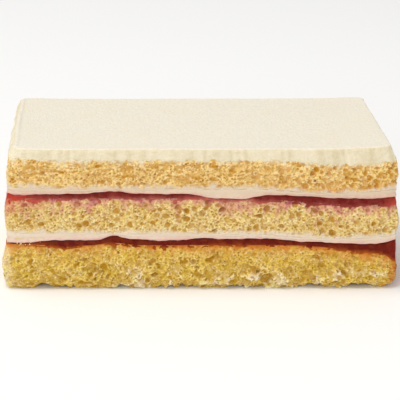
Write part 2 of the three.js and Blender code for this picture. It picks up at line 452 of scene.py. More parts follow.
def carve_pores(noise, depth, hollow, pores, radius, cover, upto=1.0):
    """Sinks rounded pores of about that radius into a depth map, and marks their insides in a second map,
    where the colour is painted darker as painted shade.

    cover is their share of the area, and upto the share of the height that has such pores."""
    rng, step = noise.rng, noise.step
    rows, columns = depth.shape
    wobble = noise.field(rows, 1.6 * radius, 1.6 * radius * pores.squash)
    area = math.pi * radius**2 * pores.squash * 1.3
    for _ in range(int(cover * upto * rows * columns * step**2 / area)):
        wide = min(radius * rng.lognormal(0.0, PORE_SPREAD), PORE_LIMIT * radius)
        tall = wide * pores.squash * rng.uniform(0.75, 1.3)
        deep = pores.deep * wide * rng.uniform(0.5, 0.95) * (DEEPER if rng.random() < DEEP_SHARE else 1.0)
        tone = pores.tone * rng.uniform(0.4, 1.0)
        row, column = clear_spot(rng, hollow, upto * rows, tall / step, wide / step)
        tilt = rng.normal(0.0, 0.35)
        reach = int(math.ceil(1.4 * max(wide, tall) / step))
        r = np.arange(max(int(row) - reach, 0), min(int(row) + reach + 1, rows))
        c = np.arange(int(column) - reach, int(column) + reach + 1)
        dy, dx = (r - row)[:, None] * step, (c - column)[None, :] * step
        u = (dx * math.cos(tilt) + dy * math.sin(tilt)) / wide
        v = (dy * math.cos(tilt) - dx * math.sin(tilt)) / tall
        window = np.ix_(r, c % columns)
        inside = np.clip(1.0 - (u**2 + v**2) * (1.0 + pores.wobble * wobble[window]), 0.0, 1.0)
        depth[window] = np.maximum(depth[window], deep * inside**pores.bowl)
        hollow[window] = np.maximum(hollow[window], tone * np.clip(pores.crisp * inside, 0.0, 1.0))


# Meshes.


def new_bmesh(marks):
    """An empty bmesh whose vertices will carry these marks."""
    bm = bmesh.new()
    for name in marks:
        bm.verts.layers.float.new(name)
    return bm


def bend_wall(bm, places, marks):
    """Bends a flat grid round the portion until its ends meet. places is rows by columns of points.

    Marks are spread over the grid where they are one number, or one for each column."""
    rows, columns = places.shape[0] - 1, places.shape[1]
    layers = bm.verts.layers.float
    spread = [(layers[name], np.broadcast_to(values, places.shape[:2])) for name, values in marks.items()]
    made = bmesh.ops.create_grid(bm, x_segments=columns, y_segments=rows, size=1.0)["verts"]
    scaled = places / PER_METRE
    rings = [[None] * (columns + 1) for _ in range(rows + 1)]
    for vert in made:
        row = round((vert.co.y + 1) / 2 * rows)
        column = round((vert.co.x + 1) / 2 * columns)
        rings[row][column] = vert
        at = (row, column % columns)
        vert.co = scaled[at]
        for layer, values in spread:
            vert[layer] = values[at]
    bmesh.ops.weld_verts(bm, targetmap={ring[columns]: ring[0] for ring in rings})
    return [ring[:columns] for ring in rings]


def close_ring(bm, ring, outline):
    """Draws an open ring of the wall inwards and fills it, for the faces that other layers cover."""
    edges = [e for v in ring for e in v.link_edges if e.is_boundary]
    columns = {tuple(v.co): i for i, v in enumerate(ring)}
    geom = bmesh.ops.extrude_edge_only(bm, edges=list(set(edges)))["geom"]
    for vert in (g for g in geom if isinstance(g, bmesh.types.BMVert)):
        i = columns[tuple(vert.co)]
        vert.co.x -= outline.out[i, 0] * HIDDEN_INSET / PER_METRE
        vert.co.y -= outline.out[i, 1] * HIDDEN_INSET / PER_METRE
    bmesh.ops.edgeloop_fill(bm, edges=[g for g in geom if isinstance(g, bmesh.types.BMEdge)])


def new_piece(bm, name, material):
    """Turns a bmesh into an object in the scene."""
    mesh = bpy.data.meshes.new(name)
    bm.to_mesh(mesh)
    bm.free()
    mesh.shade_smooth()
    mesh.materials.append(material)
    piece = bpy.data.objects.new(name, mesh)
    bpy.context.collection.objects.link(piece)
    return piece


def finish_piece(bm, name, material):
    """Turns a bmesh into a piece that stands for the CAD node of that name."""
    bmesh.ops.recalc_face_normals(bm, faces=bm.faces)
    piece = new_piece(bm, f"{name}_dressed", material)
    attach(piece, "root")
    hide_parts(name)


def wall_piece(name, outline, places, marks, material):
    """A layer as a bent wall, closed above and below where the neighbouring layers cover it."""
    bm = new_bmesh(marks)
    rings = bend_wall(bm, places, marks)
    close_ring(bm, rings[0], outline)
    close_ring(bm, rings[-1], outline)
    finish_piece(bm, name, material)


# Shader nodes.


def set_inputs(tree, node, inputs):
    """Sets a node's inputs to values or colours, or links them to other nodes' outputs."""
    for key, value in inputs.items():
        socket = node.inputs[key]
        if isinstance(value, bpy.types.NodeSocket):
            tree.links.new(value, socket)
        elif socket.type == "RGBA":
            socket.default_value = (*value[:3], 1.0)
        else:
            socket.default_value = value


def add_node(tree, kind, inputs, **settings):
    """A new node with these settings and inputs; its outputs."""
    node = tree.nodes.new(kind)
    for name, value in settings.items():
        setattr(node, name, value)
    set_inputs(tree, node, inputs)
    return node.outputs


def mixed(tree, share, first, second, blend="MIX"):
    """First colour with that share of the second laid over it."""
    inputs = {0: share, 6: first, 7: second}
    return add_node(tree, "ShaderNodeMix", inputs, data_type="RGBA", blend_type=blend)[2]


def worked_out(tree, operation, first, second, clamp=False):
    """Two values put together by a math node."""
    return add_node(tree, "ShaderNodeMath", {0: first, 1: second}, operation=operation, use_clamp=clamp)[0]


def ranged(tree, value, low, high, to_low, to_high):
    """A value stretched from one range to another, and kept inside it."""
    return add_node(tree, "ShaderNodeMapRange", {0: value, 1: low, 2: high, 3: to_low, 4: to_high})[0]


def noise_of(tree, scale, detail=3.0):
    """Noise on Object coordinates, by lumps to the metre."""
    coords = add_node(tree, "ShaderNodeTexCoord", {})["Object"]
    return add_node(tree, "ShaderNodeTexNoise", {"Vector": coords, "Scale": scale, "Detail": detail})["Fac"]


def cells_of(tree, scale, stretch):
    """Distance from the middles of scattered cells on Object coordinates, by cells to the metre."""
    coords = add_node(tree, "ShaderNodeTexCoord", {})["Object"]
    stretched = add_node(tree, "ShaderNodeMapping", {"Vector": coords, "Scale": stretch})["Vector"]
    return add_node(tree, "ShaderNodeTexVoronoi", {"Vector": stretched, "Scale": scale})["Distance"]


def mark(tree, name):
    """A mark that the mesh carries on its vertices."""
    return add_node(tree, "ShaderNodeAttribute", {}, attribute_name=name)["Fac"]


# Shared shader groups.


def fill_crumb(tree, given):
    """Open crumb: pale walls; pores and fine bubbles painted darker as painted shade; ridges paler, partly
    torn crumb and partly painted highlight; pinholes painted dark as painted shade; and a fine grain.
    """
    patches = noise_of(tree, 160.0)
    grain = noise_of(tree, 1500.0, 4.0)
    bubble = ranged(tree, cells_of(tree, 950.0, (1.0, 1.0, 1.3)), 0.12, 0.5, 1.0, 0.0)
    wall = mixed(tree, ranged(tree, patches, 0.35, 0.7, 0.0, 0.36), given["Wall"], given["Hollow"])
    # painted shade: the centres of the fine bubbles darken towards the pore colour
    bubbled = mixed(tree, worked_out(tree, "MULTIPLY", bubble, given["Fine"]), wall, given["Hollow"])
    flecks = worked_out(tree, "MULTIPLY", ranged(tree, grain, 0.52, 0.72, 0.0, 1.0), given["Fleck"])
    flecked = mixed(tree, flecks, bubbled, given["Torn"])
    # painted highlight: ridges of the relief turn pale, partly as torn crumb
    torn = mixed(tree, ranged(tree, given["Ridge"], 0.1, 1.0, 0.0, 0.7), flecked, given["Torn"])
    # painted shade: the insides of the pores take the darker pore colour
    hollow = mixed(tree, ranged(tree, given["Pore"], 0.0, 1.0, 0.0, 0.95), torn, given["Hollow"])
    grained = mixed(tree, 1.0, hollow, ranged(tree, grain, 0.28, 0.5, 0.82, 1.03), "MULTIPLY")
    yellow = noise_of(tree, 330.0, 2.0)
    green, blue = (ranged(tree, yellow, 0.35, 0.65, *span) for span in ((1.01, 0.985), (1.25, 0.7)))
    tone = add_node(tree, "ShaderNodeCombineColor", {"Red": 1.0, "Green": green, "Blue": blue})["Color"]
    toned = mixed(tree, given["Mottle"], grained, tone, "MULTIPLY")
    # painted shade: pinholes are darkened to a deep brown
    dark = mixed(tree, 1.0, given["Hollow"], (0.62, 0.46, 0.25), "MULTIPLY")
    return {
        "Color": mixed(tree, ranged(tree, given["Pinhole"], 0.0, 1.0, 0.0, 0.8), toned, dark),
        "Height": worked_out(tree, "SUBTRACT", grain, bubble),
        "Roughness": ranged(tree, patches, 0.3, 0.7, 0.82, 0.95),
    }


def fill_soak(tree, given):
    """A stain that a liquid leaves: full colour where it is strong, with a mottled edge."""
    mottle = ranged(tree, noise_of(tree, 620.0, 4.0), 0.3, 0.7, -0.3, 0.3)
    shifted = worked_out(tree, "ADD", given["Amount"], mottle)
    reached = ranged(tree, given["Amount"], 0.0, 0.25, 0.0, 1.0)
    amount = worked_out(tree, "MULTIPLY", shifted, reached, clamp=True)
    return {"Color": mixed(tree, amount, given["Color"], given["Stain"])}


def fill_smear(tree, given):
    """Spread cream: long soft smears and a very fine grain."""
    smears = noise_of(tree, 70.0, 2.0)
    grain = noise_of(tree, 1100.0)
    toned = mixed(tree, ranged(tree, smears, 0.35, 0.7, 0.0, 0.35), given["Color"], given["Shade"])
    grained = mixed(tree, ranged(tree, grain, 0.4, 0.66, 0.0, 0.55), toned, given["Shade"])
    return {
        "Color": mixed(tree, given["Streak"], grained, given["Shade"]),
        "Height": grain,
        "Roughness": ranged(tree, smears, 0.3, 0.7, 0.45, 0.6),
    }


# What fills each group, the colours and the values that it is given, and what it gives back.
GROUPS = {
    "open_crumb": (
        fill_crumb,
        ("Wall", "Hollow", "Torn"),
        ("Pore", "Ridge", "Pinhole", "Fine", "Fleck", "Mottle"),
        ("Color", "Height", "Roughness"),
    ),
    "soaked_edge": (fill_soak, ("Color", "Stain"), ("Amount",), ("Color",)),
    "spread_cream": (fill_smear, ("Color", "Shade"), ("Streak",), ("Color", "Height", "Roughness")),
}


def new_group(name):
    """A shader group from the table, with its sockets and nodes."""
    fill, colours, values, outputs = GROUPS[name]
    tree = bpy.data.node_groups.new(name, "ShaderNodeTree")
    sockets = [(label, "INPUT") for label in (*colours, *values)] + [(label, "OUTPUT") for label in outputs]
    for label, side in sockets:
        kind = "NodeSocketColor" if label in (*colours, "Color") else "NodeSocketFloat"
        tree.interface.new_socket(label, in_out=side, socket_type=kind)
    made = fill(tree, tree.nodes.new("NodeGroupInput").outputs)
    set_inputs(tree, tree.nodes.new("NodeGroupOutput"), made)
    return tree


def grouped(tree, name, **inputs):
    """What a shader group gives for these inputs. The group is made the first time it is asked for."""
    group = bpy.data.node_groups.get(name) or new_group(name)
    return add_node(tree, "ShaderNodeGroup", inputs, node_tree=group)


def stained(tree, colour, stain, name):
    """A colour with a stain over it, where the mesh carries the mark of that name."""
    return grouped(tree, "soaked_edge", Color=colour, Stain=stain, Amount=mark(tree, name))["Color"]


# Materials.


class Surface(NamedTuple):
    """How light meets one kind of food."""

    weight: float  # how much of the light goes in
    radius: tuple  # how far it goes by colour, in millimetres
    strength: float  # of the fine bumps
    raised: float  # their height, in millimetres
    specular: float = 0.5


SPONGE = Surface(0.08, (0.9, 0.55, 0.22), 0.6, 0.35, 0.1)
LOOSE_CRUMB = SPONGE._replace(specular=0.25)
CREAM = Surface(0.3, (1.2, 0.9, 0.6), 0.25, 0.1)
ICING = Surface(0.1, (1.2, 0.9, 0.6), 0.7, 0.6)
JAM = Surface(0.15, (1.5, 0.3, 0.2), 0.4, 0.3, 0.06)


def new_material(name):
    """A material with its Principled shader, and the tree that both are in."""
    material = bpy.data.materials.new(name)
    material.use_nodes = True
    tree = material.node_tree
    return material, tree, tree.nodes["Principled BSDF"]


def finish_surface(tree, shader, surface, colour, look):
    """Gives a shader its colour, the look's roughness and fine bumps, and light that goes a little way in."""
    raised = {"Strength": surface.strength, "Distance": surface.raised / PER_METRE, "Height": look["Height"]}
    inputs = {
        "Base Color": colour,
        "Roughness": look["Roughness"],
        "Specular IOR Level": surface.specular,
        "Subsurface Weight": surface.weight,
        "Subsurface Radius": surface.radius,
        "Subsurface Scale": 1.0 / PER_METRE,
        "Normal": add_node(tree, "ShaderNodeBump", raised)["Normal"],
    }
    set_inputs(tree, shader, inputs)


def sponge_material(name):
    """Crumb of one sponge, with its crust, juice, and cream or icing over its edges."""
    scene, crumb = bpy.context.scene, CRUMBS[name]
    sponge, filling, icing = scene.shortcake_sponge, scene.shortcake_filling, scene.shortcake_icing
    sheet = name.removeprefix("sponge_")
    juice = filling.lower_light if sheet == "bottom" else filling.juice
    cream = filling.upper_cream if sheet == "top" else filling.lower_cream
    material, tree, shader = new_material(f"{name}_crumb")
    pore = mark(tree, "pore")
    look = grouped(
        tree,
        "open_crumb",
        Wall=getattr(sponge, f"{sheet}_wall"),
        Hollow=getattr(sponge, f"{sheet}_hollow"),
        Torn=sponge.pale,
        Pore=pore,
        # ridges carry painted highlight, the front left corner painted light
        Ridge=worked_out(tree, "MAXIMUM", mark(tree, "ridge"), mark(tree, "pale")),
        Pinhole=mark(tree, "pinhole"),
        Fine=crumb.fine,
        Fleck=crumb.fleck,
        Mottle=crumb.mottle,
    )
    pooled = mixed(tree, ranged(tree, pore, 0.2, 1.0, 0.0, 0.6), juice, filling.upper_dark)
    deep = mixed(tree, ranged(tree, mark(tree, "soak"), 0.55, 1.0, 0.0, 0.75), pooled, filling.upper_dark)
    colour = stained(tree, look["Color"], sponge.brown, "brown")
    colour = stained(tree, colour, mixed(tree, mark(tree, "fresh"), deep, filling.fresh), "soak")
    colour = stained(tree, colour, cream, "smear")
    colour = stained(tree, colour, icing.cut, "iced")
    finish_surface(tree, shader, SPONGE, colour, look)
    return material


def loose_crumb_material():
    """Crumbs torn from the bottom sponge."""
    sponge = bpy.context.scene.shortcake_sponge
    material, tree, shader = new_material("loose_crumb")
    colours = {"Wall": sponge.bottom_wall, "Hollow": sponge.bottom_hollow, "Torn": sponge.pale}
    look = grouped(tree, "open_crumb", **colours, Ridge=0.7, Fine=0.4, Fleck=0.4)
    finish_surface(tree, shader, LOOSE_CRUMB, look["Color"], look)
    return material


def cream_material(name, cream, blush):
    """Satin cream, pink beside the jam: partly juice it has taken up, partly painted red light bounced from
    the jam.
    """
    material, tree, shader = new_material(f"{name}_spread")
    shade = tuple(c * k for c, k in zip(cream, (0.93, 0.9, 0.86)))
    look = grouped(tree, "spread_cream", Color=cream, Shade=shade, Streak=mark(tree, "streak"))
    colour = stained(tree, look["Color"], blush, "soak")
    finish_surface(tree, shader, CREAM, colour, look)
    return material


def icing_material():
    """Ivory icing, streaked on its cut walls, which are painted yellower as painted light bounced into them.
    """
    icing = bpy.context.scene.shortcake_icing
    material, tree, shader = new_material("ivory_icing")
    look = grouped(tree, "spread_cream", Color=icing.top, Shade=icing.top_shade, Streak=0.0)
    cut = mixed(tree, mark(tree, "streak"), icing.cut, icing.cut_shade)
    colour = mixed(tree, mark(tree, "cut"), look["Color"], cut)
    finish_surface(tree, shader, ICING, colour, look)
    return material


def jam_material(name, dark, light, fresh):
    """Lumpy jam, dark in the thick and lighter in the thin, with painted shade along its upper edge under the
    cream.
    """
    material, tree, shader = new_material(f"{name}_gel")
    lumps = noise_of(tree, 420.0)
    uneven = ranged(tree, lumps, 0.35, 0.65, -0.12, 0.12)
    gel = mixed(tree, worked_out(tree, "ADD", mark(tree, "thin"), uneven, clamp=True), dark, light)
    # painted shade: the jam darkens towards its upper edge, under the overhanging cream
    gel = mixed(tree, mark(tree, "rim"), gel, tuple(0.4 * c for c in dark))
    colour = mixed(tree, mark(tree, "fresh"), gel, fresh)
    look = {"Height": lumps, "Roughness": ranged(tree, lumps, 0.3, 0.7, 0.2, 0.4)}
    finish_surface(tree, shader, JAM, colour, look)
    return material


# Sponges.

# Where juice has run further into the middle sponge: place along the wall, half width and how much, in mm.
DRIPS = ((LEFT_END, 10.0, 2.2), (55.5, 1.6, 1.6), (18.0, 9.0, 1.12))
# Where more pale clumps hang on the foot of the front: place, half width and how many more.
CLUMPS = ((-20.0, 7.0, 1.0), (38.0, 10.0, 0.8))


class SpongeWall:
    """The cut wall of one sheet of sponge, worked out as relief and as marks from 0 to 1."""

    def __init__(self, walls, noise, name):
        self.name, self.noise, self.outline, self.crumb = name, noise, walls.outline, CRUMBS[name]
        low, high, shares, steps = walls.layer(name)
        thick = high - low
        tuck = 0.0 if name == "sponge_bottom" else SPONGE_TUCK
        rows = round(float(np.mean(thick) + tuck) / self.outline.step) + 1
        self.rise = np.linspace(0.0, 1.0, rows)[:, None]
        self.height = low - tuck + (thick + tuck) * self.rise
        self.below_top, self.above_foot = high - self.height, self.height - low
        self.share = band_shares(shares, steps, np.clip(self.above_foot / thick, 0.0, 1.0))

    def field(self, across, up):
        """Relief over the whole wall."""
        return self.noise.field(len(self.height), across, up)

    def build(self, sponge):
        """Puts the relief and the marks together and makes the piece."""
        outline = self.outline
        relief, hollow, pinholes = self.open_crumb(sponge)
        # painted highlight on the ridges between pores, partly torn crumb
        ridge = self.crumb.torn * ridges(relief, outline.step, 0.4, 0.4)
        smear, iced = self.smears()
        painted_corner_light = self.painted_corner_light()
        covered = np.maximum(smear, iced)
        if self.name != "sponge_top":
            covered = np.maximum(covered, np.clip(1.5 - self.below_top / 1.2, 0.0, 1.0))
        buried = ramp(self.above_foot, -0.9, -1.6)
        relief = relief * (1.0 - 0.85 * covered) * (1.0 - 0.5 * painted_corner_light) - 0.14 * covered - 0.6 * buried
        hollow = hollow * (1.0 - 0.6 * painted_corner_light)
        lift = 0.4 * ramp(self.rise, 0.92, 1.0)
        soak = self.soak()
        # painted light: the front left corner is painted pale
        pale = 0.8 * painted_corner_light * (1.0 - soak)
        if self.name == "sponge_top":
            relief = relief - 0.9 * ramp(outline.x, -66.0, -70.0) * ramp(self.height, 41.0, 47.0)
        if self.name == "sponge_bottom":
            relief, hollow, pale, lift = self.ragged_foot(relief, hollow, pale, lift)
        marks = {
            "pore": hollow,
            # painted shade inside the pinholes
            "pinhole": np.clip(2.0 * pinholes, 0.0, 1.0),
            "ridge": ridge,
            "pale": pale,
            "smear": smear,
            "iced": iced,
            "soak": soak,
            "fresh": 0.55 * bump(outline.x, LEFT_END, 11.0) * (self.name == "sponge_middle"),
            "brown": self.brown(),
        }
        places = outline.place(self.share, relief, self.height + lift)
        wall_piece(self.name, outline, places, marks, sponge_material(self.name))

    def open_crumb(self, sponge):
        """Relief of pores, flakes and torn crumb, and where the hollows and pinholes are."""
        noise, crumb, shape = self.noise, self.crumb, self.height.shape
        depth, hollow = np.zeros(shape), np.zeros(shape)
        for radius, cover in zip((sponge.large_pore, sponge.small_pore), crumb.cover):
            carve_pores(noise, depth, hollow, crumb.pores, radius * PER_METRE * crumb.size, cover)
        open_end = 0.0
        if self.name == "sponge_bottom":
            carve_pores(noise, depth, hollow, CAVITY, 1.2, 0.3, 0.6)
        if self.name == "sponge_top":
            open_end = ramp(self.outline.x, 12.0, 37.0)
            more_depth, more_hollow = np.zeros(shape), np.zeros(shape)
            carve_pores(noise, more_depth, more_hollow, CRUMBS["sponge_middle"].pores, 0.75, 0.42)
            depth = np.maximum(depth, open_end * more_depth)
            hollow = np.maximum(hollow, open_end * more_hollow)
        amount, wide, tall = crumb.flake
        flakes = self.field(wide, tall) + 0.8 * self.field(2.4 * wide, 2.4 * tall)
        sunk = amount * ramp(flakes, -0.95, -1.75) * (1.0 - 0.7 * open_end)
        # sunk flakes are painted with the pore colour too, as painted shade
        depth, hollow = np.maximum(depth, 0.7 * sunk), np.maximum(hollow, 0.85 * sunk)
        pinholes = np.zeros(shape)
        carve_pores(noise, pinholes, hollow, PINHOLE, 0.28, 0.05)
        depth = np.maximum(depth, 1.6 * pinholes)
        torn = self.field(0.75, 0.6) + 0.9 * self.field(2.8, 2.2)
        hollow = hollow * np.clip(1.0 + 0.2 * self.field(0.9, 0.7), 0.5, 1.0)
        return sponge.roughness * PER_METRE * (torn + amount * flakes) - depth + 0.1, hollow, pinholes

    def painted_corner_light(self):
        """Painted light: pale, blurred crumb at the front left corner."""
        wide = 4.5 if self.name == "sponge_bottom" else 2.0
        return ramp(self.outline.x, wide - 70.0, -70.0) * ramp(self.outline.y, -26.0, -33.0)

    def ragged_foot(self, relief, hollow, pale, lift):
        """Bites, pale clumps and gaps along the bottom sponge's foot, and a crag on its front left corner."""
        outline, height = self.outline, self.height
        foot = ramp(height, 2.4, 0.0)
        bites = sum(part * self.noise.line(size) for part, size in ((0.9, 6.0), (0.7, 2.2), (0.6, 0.9)))
        lift = np.where(foot > 0, foot**1.3 * np.clip(0.3 + 0.75 * bites, 0.0, 2.0), lift)
        lumps = self.field(3.6, 2.6) + 0.5 * self.field(1.0, 0.8)
        lumps = lumps + 1.1 * outline.front * bump(outline.x, -20.0, 5.0)
        zone = 0.85 + 0.35 * self.noise.line(16.0) + outline.front * bumps(outline.x, CLUMPS)
        near_foot = np.clip(1.8 - height / 5.5, 0.0, 1.0) * np.clip(zone, 0.0, 1.4)
        cells = ridges(relief, outline.step, 0.8, 0.5)
        # the clumps are paler on ridges of the relief, partly as painted highlight
        clumps = near_foot * np.clip(0.9 * cells + 1.4 * lumps - 0.45, 0.0, 0.95)
        pale = np.maximum(pale, clumps * (1.0 - 0.6 * hollow))
        # painted shade: the gaps between the clumps take the pore colour
        gaps = near_foot * ramp(lumps, -0.3, -1.3) * (1.0 - cells)
        crag = ramp(outline.x, -66.0, -71.0) * ramp(outline.y, -12.0, -27.0) * bump(height, 9.5, 2.5)
        relief = relief + 0.35 * near_foot * np.clip(lumps, -0.8, 2.0) - 0.5 * foot + crag
        return relief, np.maximum(hollow, 0.3 * gaps), pale, lift

    def smears(self):
        """Cream that the knife has drawn up over the sponge's foot, and icing drawn down over its top."""
        if self.name == "sponge_bottom":
            return 0.0, 0.0
        long, short = (self.noise.field(2, size, 1.0) for size in (2.6, 0.8))
        right = self.outline.right_part * (self.name == "sponge_top")
        edge = 0.35 * long[0] + 0.3 * short[0] + 0.1 * right
        cream = np.clip(0.5 - (self.above_foot + edge) / (2.2 - 0.7 * right), 0.0, 1.0)
        if self.name == "sponge_middle":
            return cream, 0.0
        runs = 1.0 + 0.45 * long[1] + 0.35 * short[1]
        icing = fade(self.below_top, np.clip(0.7 * runs, 0.12, 2.0))
        return cream, np.clip(1.15 * icing, 0.0, 1.0)

    def soak(self):
        """Juice that the sponge under a jam has taken up, and the baked right end of the bottom sponge."""
        x = self.outline.x
        if self.name == "sponge_top":
            return 0.0
        if self.name == "sponge_bottom":
            patchy = np.clip(0.8 + 0.3 * self.field(2.6, 2.0), 0.2, 1.0)
            return np.maximum(0.75 * fade(self.below_top, 0.6), 0.6 * patchy * ramp(x, 69.5, 72.5))
        run = (1.9 + 0.5 * self.noise.line(3.0)) * np.exp(0.45 * self.field(1.2, 1.6))
        return 0.95 * fade(self.below_top, np.clip(run + bumps(x, DRIPS), 0.35, 5.0))

    def brown(self):
        """Browned crust under the jam and on the right shoulder below it, and a trace on the top sponge."""
        x = self.outline.x
        if self.name == "sponge_middle":
            return 0.0
        wander = self.noise.line(7.0)
        if self.name == "sponge_top":
            trace = 1.4 - self.above_foot / np.clip(1.8 + 0.8 * wander, 0.5, 4.0)
            return 0.28 * self.outline.right_part * np.clip(trace, 0.0, 1.0)
        under_jam = fade(self.below_top, np.clip(1.5 + 0.3 * wander + 0.7 * ramp(x, 50.0, 66.0), 0.5, 4.0))
        under_jam = under_jam * np.exp(0.25 * self.field(1.8, 1.4))
        shoulder = np.clip(0.6 + 0.3 * self.field(3.0, 2.2), 0.15, 1.0) * ramp(x, 66.5, 71.5) ** 1.5
        return np.maximum(np.maximum(under_jam, 0.36 * fade(self.below_top, 6.0)), shoulder)


class SHORTCAKE_OT_sponges(bpy.types.Operator):
    """Tears open the crumb on the walls of the three sheets of sponge"""

    bl_idname = "shortcake.sponges"
    bl_label = "Bake the Sponges"

    def execute(self, context):
        sponge = context.scene.shortcake_sponge
        walls = Walls(sponge.step * PER_METRE)
        noise = WallNoise(sponge.seed, walls.outline)
        for name in CRUMBS:
            SpongeWall(walls, noise, name).build(sponge)
        return {"FINISHED"}


# Fillings and icing.

# Where the jam runs down the sponge further or less far: place along the wall, half width and how much.
RUNS = {
    "jam_lower": ((-19.0, 13.0, 1.3), (11.0, 7.0, -0.85), (40.0, 16.0, 0.3)),
    "jam_upper": ((-49.0, 12.0, 0.75), (40.0, 16.0, 0.7), (62.0, 8.0, -1.0)),
}
# How far the icing's ends are drawn in at its top, as shares of their distance from the middle.
RIGHT_DRAWN_IN = 0.014
LEFT_DRAWN_IN = 0.009
CORNER_DRAWN_IN = 0.011  # more at the front left corner
FRONT_CRUMBS = 34  # loose crumbs near the left end of the front
FRONT_STRETCH = (-66.0, -56.0)  # from where to where they lie
OTHER_CRUMBS = 12  # loose crumbs anywhere
CRUMB_RADIUS = (0.16, 0.42)  # from the smallest to the largest


class SHORTCAKE_OT_jams(bpy.types.Operator):
    """Spreads the two layers of strawberry jam"""

    bl_idname = "shortcake.jams"
    bl_label = "Spread the Jam"

    def execute(self, context):
        filling = context.scene.shortcake_filling
        walls = Walls(filling.step * PER_METRE)
        noise = WallNoise(filling.seed, walls.outline)
        for name in ("jam_lower", "jam_upper"):
            self.build(filling, walls, noise, name)
        return {"FINISHED"}

    def build(self, filling, walls, noise, name):
        """One jam, set back under the cream and run down over the sponge."""
        outline, x = walls.outline, walls.outline.x
        upper = name == "jam_upper"
        low, high, shares, steps = walls.layer(name)
        runs = 0.85 + 0.4 * noise.line(2.8) + 0.3 * noise.line(1.0)
        dip = upper * outline.front * bump(x, 8.5, 10.0, 4)
        left = upper * bump(x, LEFT_END, 11.0)
        runs = runs + 1.4 * left + bumps(x, RUNS[name])
        bleed = filling.bleed * PER_METRE * np.clip(runs, 0.05, 3.0) * (1.0 - 0.85 * dip)
        sag = 0.5 * np.clip(runs - 0.85, -0.9, 1.2) * (1.0 - dip)
        height, climb, under, over = band_rows(low, high, bleed, 0.4, JAM_ROWS)
        wet = 0.07 * noise.field(JAM_ROWS, 3.0, 1.5)
        set_back = 0.06 + (filling.overhang * PER_METRE - 0.06) * climb
        offset = wet - set_back - 0.06 * under - 0.6 * under**6 - 1.2 * over
        above_foot = height - low + sag
        right = bump(x, 74.0, 4.5)
        if upper:
            thin = 0.6 * ramp(above_foot, 1.4, 0.0) ** 1.5 + 0.4 * under + 0.06 * (high - height)
            thin = (thin + 0.3 * left + 0.6 * dip) * (1.0 - 0.6 * outline.right_part) + 0.4 * right
            fresh = (left + 0.5 * right) * (0.35 + 0.35 * (high - height))
            rim = 0.15
        else:
            soft_foot, hard_foot = ramp(x, 42.0, 52.0), ramp(x, -30.0, -38.0)
            foot = ramp(above_foot, 1.1 + 0.7 * soft_foot - 0.35 * hard_foot, 0.0)
            thin = (0.45 + 0.35 * soft_foot) * foot**1.5 + 0.55 * under
            thin = thin + 0.04 * ramp(x, 60.0, 48.0) + 0.4 * bump(x, -60.0, 5.0)
            thin = thin * (1.0 - 0.15 * outline.right_part)
            fresh = 0.105 * right
            rim = 0.65
        marks = {
            "thin": np.clip(thin, 0.0, 1.0),
            "fresh": np.clip(fresh, 0.0, 0.9),
            # painted shade along the upper edge, under the cream that stands out over the jam
            "rim": rim * fade(high - height, 0.5),
        }
        level = name.removeprefix("jam_")
        dark, light = (getattr(filling, f"{level}_{tone}") for tone in ("dark", "light"))
        places = outline.place(band_shares(shares, steps, climb), offset, height)
        wall_piece(name, outline, places, marks, jam_material(name, dark, light, filling.fresh))


class SHORTCAKE_OT_creams(bpy.types.Operator):
    """Spreads the two layers of cream over the jam"""

    bl_idname = "shortcake.creams"
    bl_label = "Spread the Cream"

    def execute(self, context):
        filling = context.scene.shortcake_filling
        walls = Walls(filling.step * PER_METRE)
        noise = WallNoise(filling.seed + 1, walls.outline)
        for name in ("cream_lower", "cream_upper"):
            self.build(filling, walls, noise, name)
        return {"FINISHED"}

    def build(self, filling, walls, noise, name):
        """One cream, run up into the pores of the sponge above it."""
        outline = walls.outline
        low, high, shares, steps = walls.layer(name)
        runs = 0.4 + 0.3 * noise.line(2.2) + 0.3 * noise.line(0.9)
        right = 0.4 * outline.right_part
        bleed = filling.bleed * PER_METRE * np.clip(runs - right, 0.05, 1.5)
        height, climb, _, over = band_rows(low, high - 1.1, 0.0, bleed, CREAM_ROWS)
        wander = 0.16 * noise.line(5.0) + 0.08 * noise.line(1.4)
        height = height + wander * np.clip(1.0 - 3.0 * climb, 0.0, 1.0)
        smear = 0.08 * noise.field(CREAM_ROWS, 9.0, 1.5)
        lower_edge = ramp(height - low, 0.35, 0.0) ** 2
        offset = smear - 0.02 - 0.25 * lower_edge - 0.08 * over - 0.6 * over**6
        streak = np.clip(0.5 + 0.35 * noise.field(CREAM_ROWS, 12.0, 1.0), 0.0, 1.0)
        dip = (name == "cream_upper") * outline.front * bump(outline.x, 10.0, 8.5, 4)
        # the pink beside the jam is partly juice taken up and partly painted light bounced from the jam
        soak = 0.55 * np.clip(1.0 - 1.4 * climb, 0.0, 1.0) + 0.45 * fade(height - low, 0.4)
        marks = {
            "soak": soak * (1.0 - 0.5 * dip),
            "streak": np.clip(streak + right, 0.0, 1.0) * (1.0 - dip),
        }
        level = name.removeprefix("cream_")
        cream, blush = (getattr(filling, f"{level}_{tone}") for tone in ("cream", "blush"))
        places = outline.place(band_shares(shares, steps, climb), offset, height)
        wall_piece(name, outline, places, marks, cream_material(name, cream, blush))


